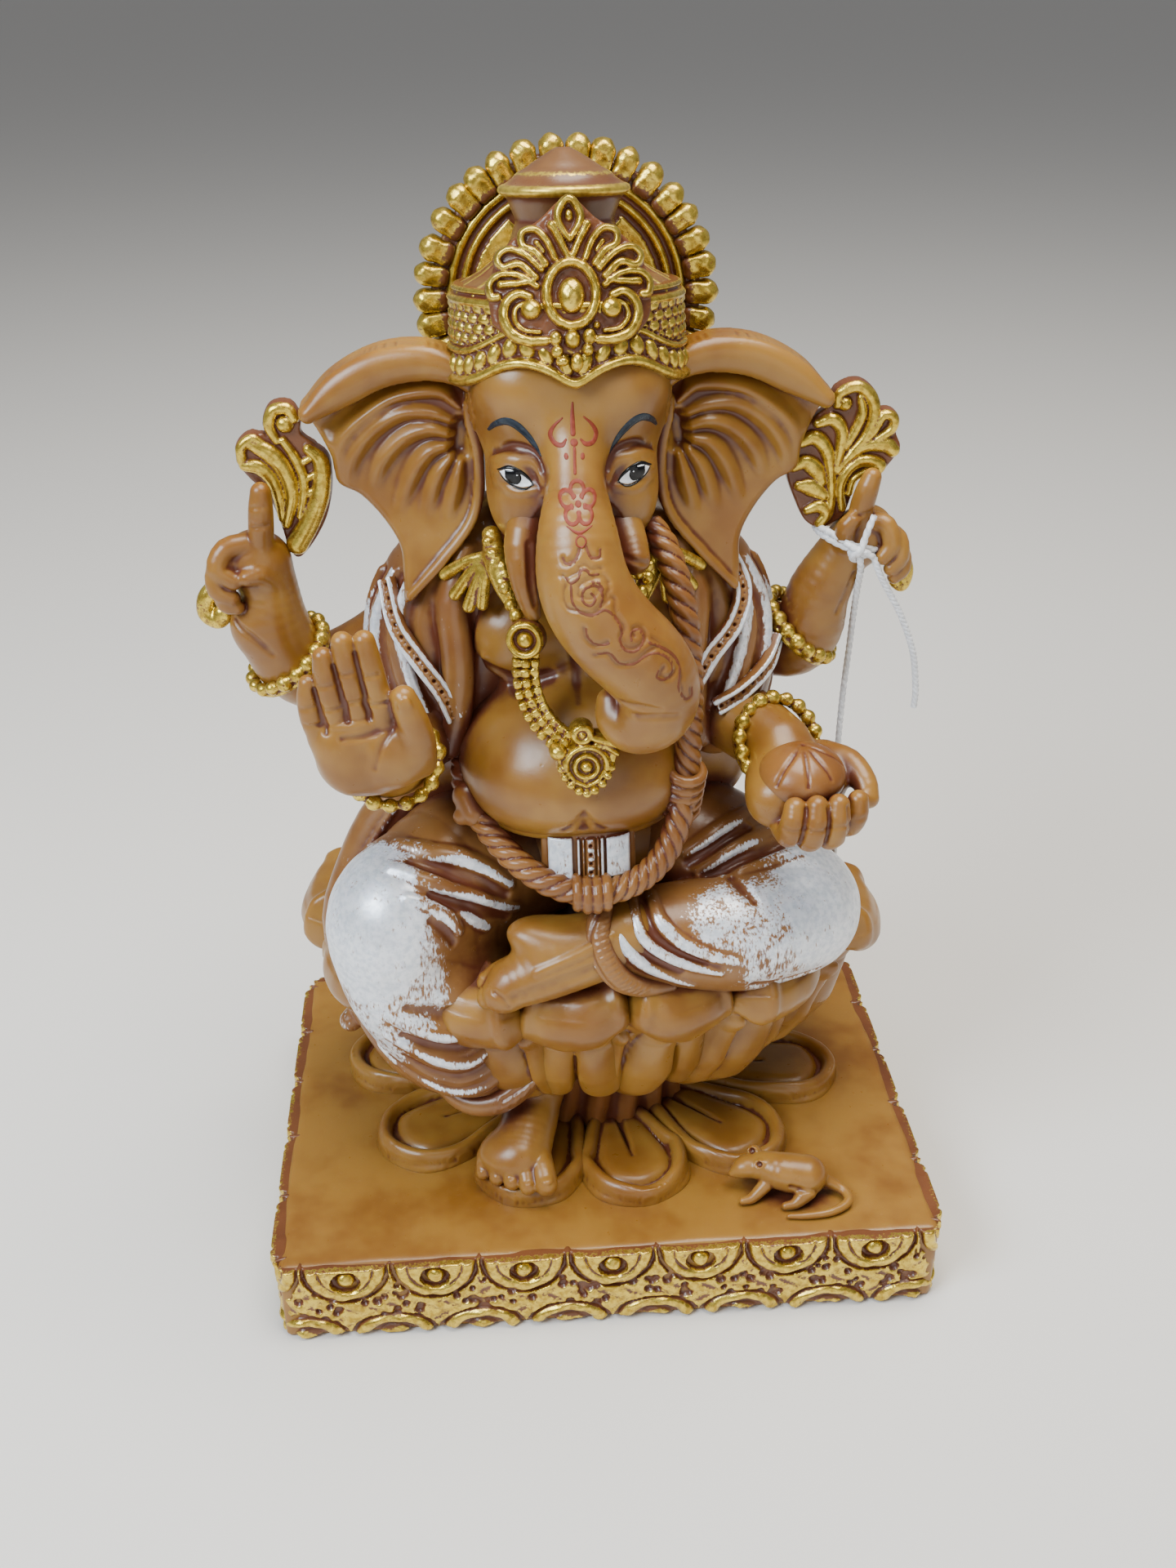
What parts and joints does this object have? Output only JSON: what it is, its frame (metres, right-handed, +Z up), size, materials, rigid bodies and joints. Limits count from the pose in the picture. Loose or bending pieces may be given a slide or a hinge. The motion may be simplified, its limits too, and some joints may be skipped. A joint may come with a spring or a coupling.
{
  "type": "ganesha idol",
  "caption": "Seated four-armed Ganesha figure on a lotus seat and a rectangular plinth, with crown, halo, ornaments and a mouse; stands on its flat base.",
  "frame": {"origin": "centre of the plinth's flat underside, on the surface that the idol stands on", "axes": "+Z up; the figure faces -Y; the figure's own right side is at -X; millimetre design, metres in the row"},
  "size_m": [0.1278, 0.0911, 0.2014],
  "materials": {
    "amber_resin": "semi-gloss amber cast resin with a reddish-brown wash in its hollows",
    "washed_resin": "the same cast resin, darker where the brown wash stays",
    "gilt_resin": "worn gold paint on raised relief over brown resin",
    "white_brushed_resin": "silver-white paint dry-brushed over the folds of the resin",
    "cotton_string": "twisted white cotton",
    "tag_card": "plain matt card"
  },
  "bodies": {
    "root": {"plinth": "amber_resin", "frieze_front": "gilt_resin", "frieze_back": "gilt_resin", "frieze_right": "gilt_resin", "frieze_left": "gilt_resin", "floor_petal_1": "amber_resin", "floor_petal_2": "amber_resin", "floor_petal_3": "amber_resin", "floor_petal_4": "amber_resin", "floor_petal_5": "amber_resin", "floor_petal_6": "amber_resin", "floor_petals_back": "amber_resin", "lotus_stem": "washed_resin", "seat_pad": "amber_resin", "seat_petal_1": "amber_resin", "seat_petal_2": "amber_resin", "seat_petal_3": "amber_resin", "seat_petal_4": "amber_resin", "seat_petal_5": "amber_resin", "seat_petal_6": "amber_resin", "seat_petal_7": "amber_resin", "seat_petals_back": "amber_resin", "torso": "amber_resin", "waist_buckle": "white_brushed_resin", "right_leg": "white_brushed_resin", "left_leg": "white_brushed_resin", "right_foot": "amber_resin", "left_foot": "amber_resin", "right_shawl": "washed_resin", "left_shawl": "washed_resin", "head": "amber_resin", "trunk": "amber_resin", "right_ear": "amber_resin", "left_ear": "amber_resin", "crown_band": "gilt_resin", "crown_crest": "gilt_resin", "crown_cap": "washed_resin", "halo_disc": "amber_resin", "halo_lobes_ring": "gilt_resin", "front_right_arm": "amber_resin", "front_left_arm": "amber_resin", "back_right_arm": "amber_resin", "back_left_arm": "amber_resin", "goad": "gilt_resin", "lotus_flame": "gilt_resin", "sweet_ball": "washed_resin", "front_right_bracelet": "gilt_resin", "front_left_bracelet": "gilt_resin", "back_right_armlet": "gilt_resin", "back_left_armlet": "gilt_resin", "necklace": "gilt_resin", "collar_sprays": "gilt_resin", "sacred_thread": "washed_resin", "mouse": "amber_resin", "tag_knot": "cotton_string", "tag_string_tail": "cotton_string", "tag_string_drop": "cotton_string", "blank_tag": "tag_card"}
  },
  "joints": []
}
